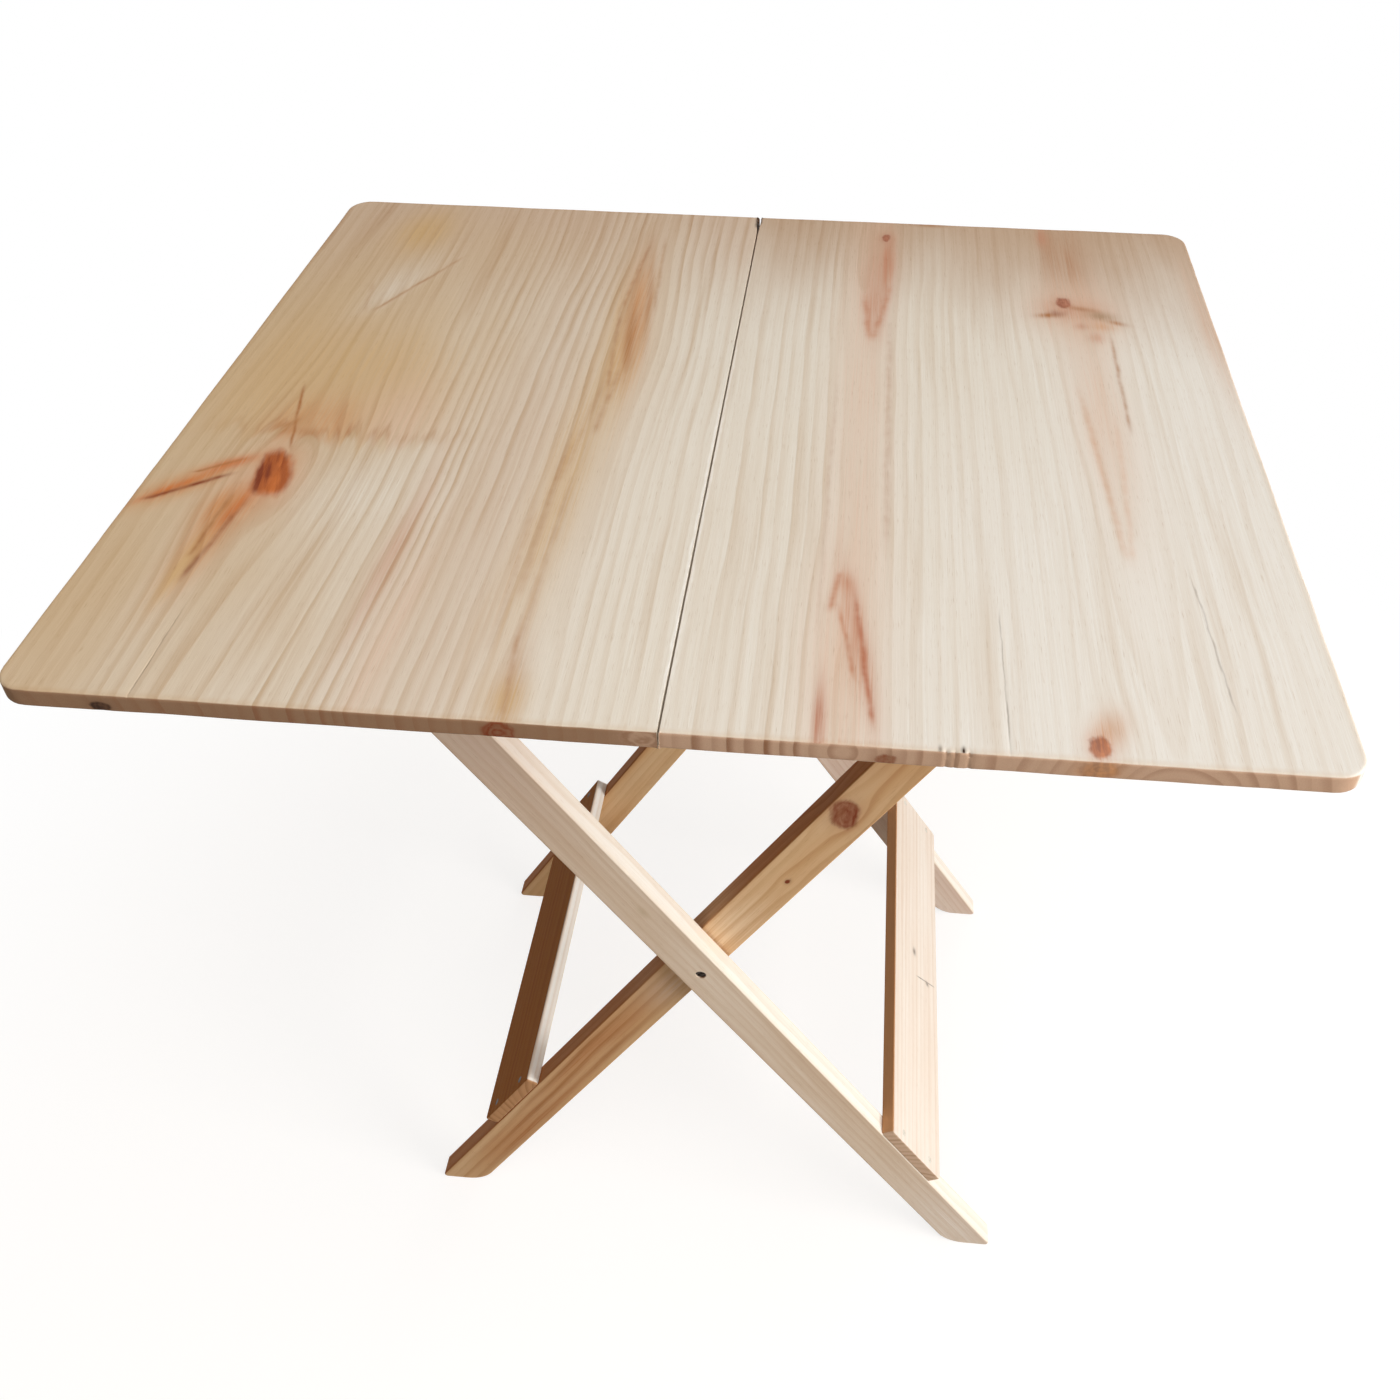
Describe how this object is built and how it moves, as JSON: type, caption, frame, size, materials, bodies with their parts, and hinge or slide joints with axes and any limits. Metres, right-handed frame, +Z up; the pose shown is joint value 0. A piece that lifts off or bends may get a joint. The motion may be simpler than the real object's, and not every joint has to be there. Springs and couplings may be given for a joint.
{
  "type": "folding trestle table",
  "caption": "Pine folding table: a top split at a middle seam, hinged underneath, on crossed leg frames that scissor shut as the seam is lifted.",
  "frame": {"origin": "on the floor under the middle of the seam", "axes": "+X to the right across the crossed legs, +Y away from the front edge along the seam, +Z up"},
  "size_m": [0.65, 0.56, 0.7],
  "materials": {
    "left_top_pine": "bare sanded pine",
    "right_top_pine": "bare sanded pine",
    "outer_leg_pine": "bare sanded pine",
    "inner_leg_pine": "bare sanded pine",
    "stretcher_pine": "bare sanded pine",
    "cleat_pine": "bare sanded pine",
    "zinc_steel": "zinc plated, dull",
    "dark_steel": "oxidised, dark"
  },
  "bodies": {
    "outer_frame": {"outer_leg_near": "outer_leg_pine", "outer_leg_far": "outer_leg_pine", "outer_stretcher": "stretcher_pine", "outer_stretcher_nails": "dark_steel", "scissor_bolt_near": "dark_steel", "scissor_bolt_far": "dark_steel", "scissor_spacer_near": "zinc_steel", "scissor_spacer_far": "zinc_steel", "scissor_washer_near": "zinc_steel", "scissor_washer_far": "zinc_steel", "scissor_nut_near": "dark_steel", "scissor_nut_far": "dark_steel"},
    "inner_frame": {"inner_leg_near": "inner_leg_pine", "inner_leg_far": "inner_leg_pine", "inner_stretcher": "stretcher_pine", "inner_stretcher_nails": "dark_steel", "right_pivot_screw_near": "zinc_steel", "right_pivot_screw_far": "zinc_steel"},
    "left_leaf": {"left_leaf_board": "left_top_pine", "left_cleat_near": "cleat_pine", "left_cleat_far": "cleat_pine", "left_cleat_screws": "zinc_steel", "left_pivot_screw_near": "zinc_steel", "left_pivot_screw_far": "zinc_steel", "hinge_left_plate_near": "zinc_steel", "hinge_left_plate_far": "zinc_steel", "hinge_pin_near": "zinc_steel", "hinge_pin_far": "zinc_steel", "hinge_left_screws": "zinc_steel"},
    "right_leaf": {"right_leaf_board": "right_top_pine", "right_cleat_near": "cleat_pine", "right_cleat_far": "cleat_pine", "right_cleat_screws": "zinc_steel", "hinge_right_plate_near": "zinc_steel", "hinge_right_plate_far": "zinc_steel", "hinge_right_screws": "zinc_steel"}
  },
  "joints": [
    {"name": "leaf_pivot", "type": "hinge", "parent": "outer_frame", "child": "left_leaf", "pos_m": [-0.193, 0, 0.671], "axis": [0, -1, 0], "range_deg": [0, 115.69]},
    {"name": "seam_hinge", "type": "hinge", "parent": "left_leaf", "child": "right_leaf", "pos_m": [0, 0, 0.6857], "axis": [0, 1, 0], "range_deg": [0, 169.38]},
    {"name": "scissor_pivot", "type": "hinge", "parent": "outer_frame", "child": "inner_frame", "pos_m": [0, 0, 0.356], "axis": [0, -1, 0], "range_deg": [0, 61.99]}
  ],
  "couplings": [
    {"joint": "leaf_pivot", "follows": "seam_hinge", "ratio": 0.683},
    {"joint": "scissor_pivot", "follows": "seam_hinge", "ratio": 0.36599}
  ]
}
